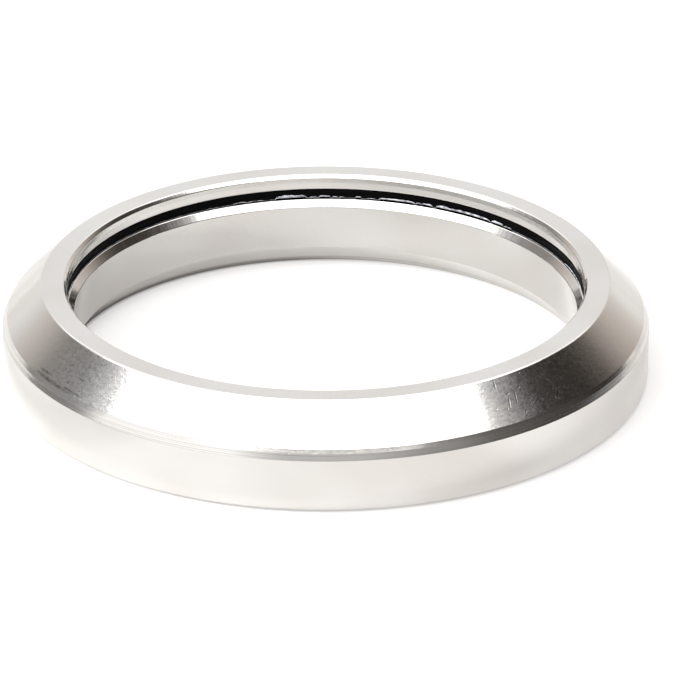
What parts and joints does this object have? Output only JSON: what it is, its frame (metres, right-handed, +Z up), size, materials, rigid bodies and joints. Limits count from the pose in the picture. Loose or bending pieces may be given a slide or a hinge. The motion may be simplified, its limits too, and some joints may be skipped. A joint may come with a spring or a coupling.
{
  "type": "headset bearing",
  "caption": "Sealed angular contact steering bearing: outer race with an outside seat cone, inner race with an inside seat cone, rubber seals, and balls in a crown cage",
  "frame": {"origin": "centre of the bottom face, on the bearing's axis", "axes": "+Z up along the bearing's axis, towards the outer seat cone; X and Y are any two directions across it"},
  "size_m": [0.052, 0.052, 0.008],
  "materials": {
    "race_steel": "turned and ground bearing steel, satin, with fine handling scratches",
    "seal_rubber": "moulded black nitrile rubber with a film of grease",
    "cage_nylon": "moulded natural nylon",
    "ball_steel": "lapped chrome steel"
  },
  "bodies": {
    "outer": {"outer_race": "race_steel", "upper_seal": "seal_rubber", "lower_seal": "seal_rubber"},
    "inner": {"inner_race": "race_steel"},
    "cage": {"ball_cage": "cage_nylon", "ball_01": "ball_steel", "ball_02": "ball_steel", "ball_03": "ball_steel", "ball_04": "ball_steel", "ball_05": "ball_steel", "ball_06": "ball_steel", "ball_07": "ball_steel", "ball_08": "ball_steel", "ball_09": "ball_steel", "ball_10": "ball_steel", "ball_11": "ball_steel", "ball_12": "ball_steel", "ball_13": "ball_steel", "ball_14": "ball_steel", "ball_15": "ball_steel", "ball_16": "ball_steel", "ball_17": "ball_steel", "ball_18": "ball_steel", "ball_19": "ball_steel", "ball_20": "ball_steel", "ball_21": "ball_steel", "ball_22": "ball_steel", "ball_23": "ball_steel", "ball_24": "ball_steel", "ball_25": "ball_steel", "ball_26": "ball_steel", "ball_27": "ball_steel", "ball_28": "ball_steel", "ball_29": "ball_steel", "ball_30": "ball_steel", "ball_31": "ball_steel", "ball_32": "ball_steel"}
  },
  "joints": [
    {"name": "race_spin", "type": "hinge", "parent": "outer", "child": "inner", "pos_m": [0, 0, 0.004], "axis": [0, 0, 1], "continuous": true},
    {"name": "cage_spin", "type": "hinge", "parent": "outer", "child": "cage", "pos_m": [0, 0, 0.004], "axis": [0, 0, 1], "continuous": true}
  ],
  "couplings": [
    {"joint": "cage_spin", "follows": "race_spin", "ratio": 0.4757}
  ]
}
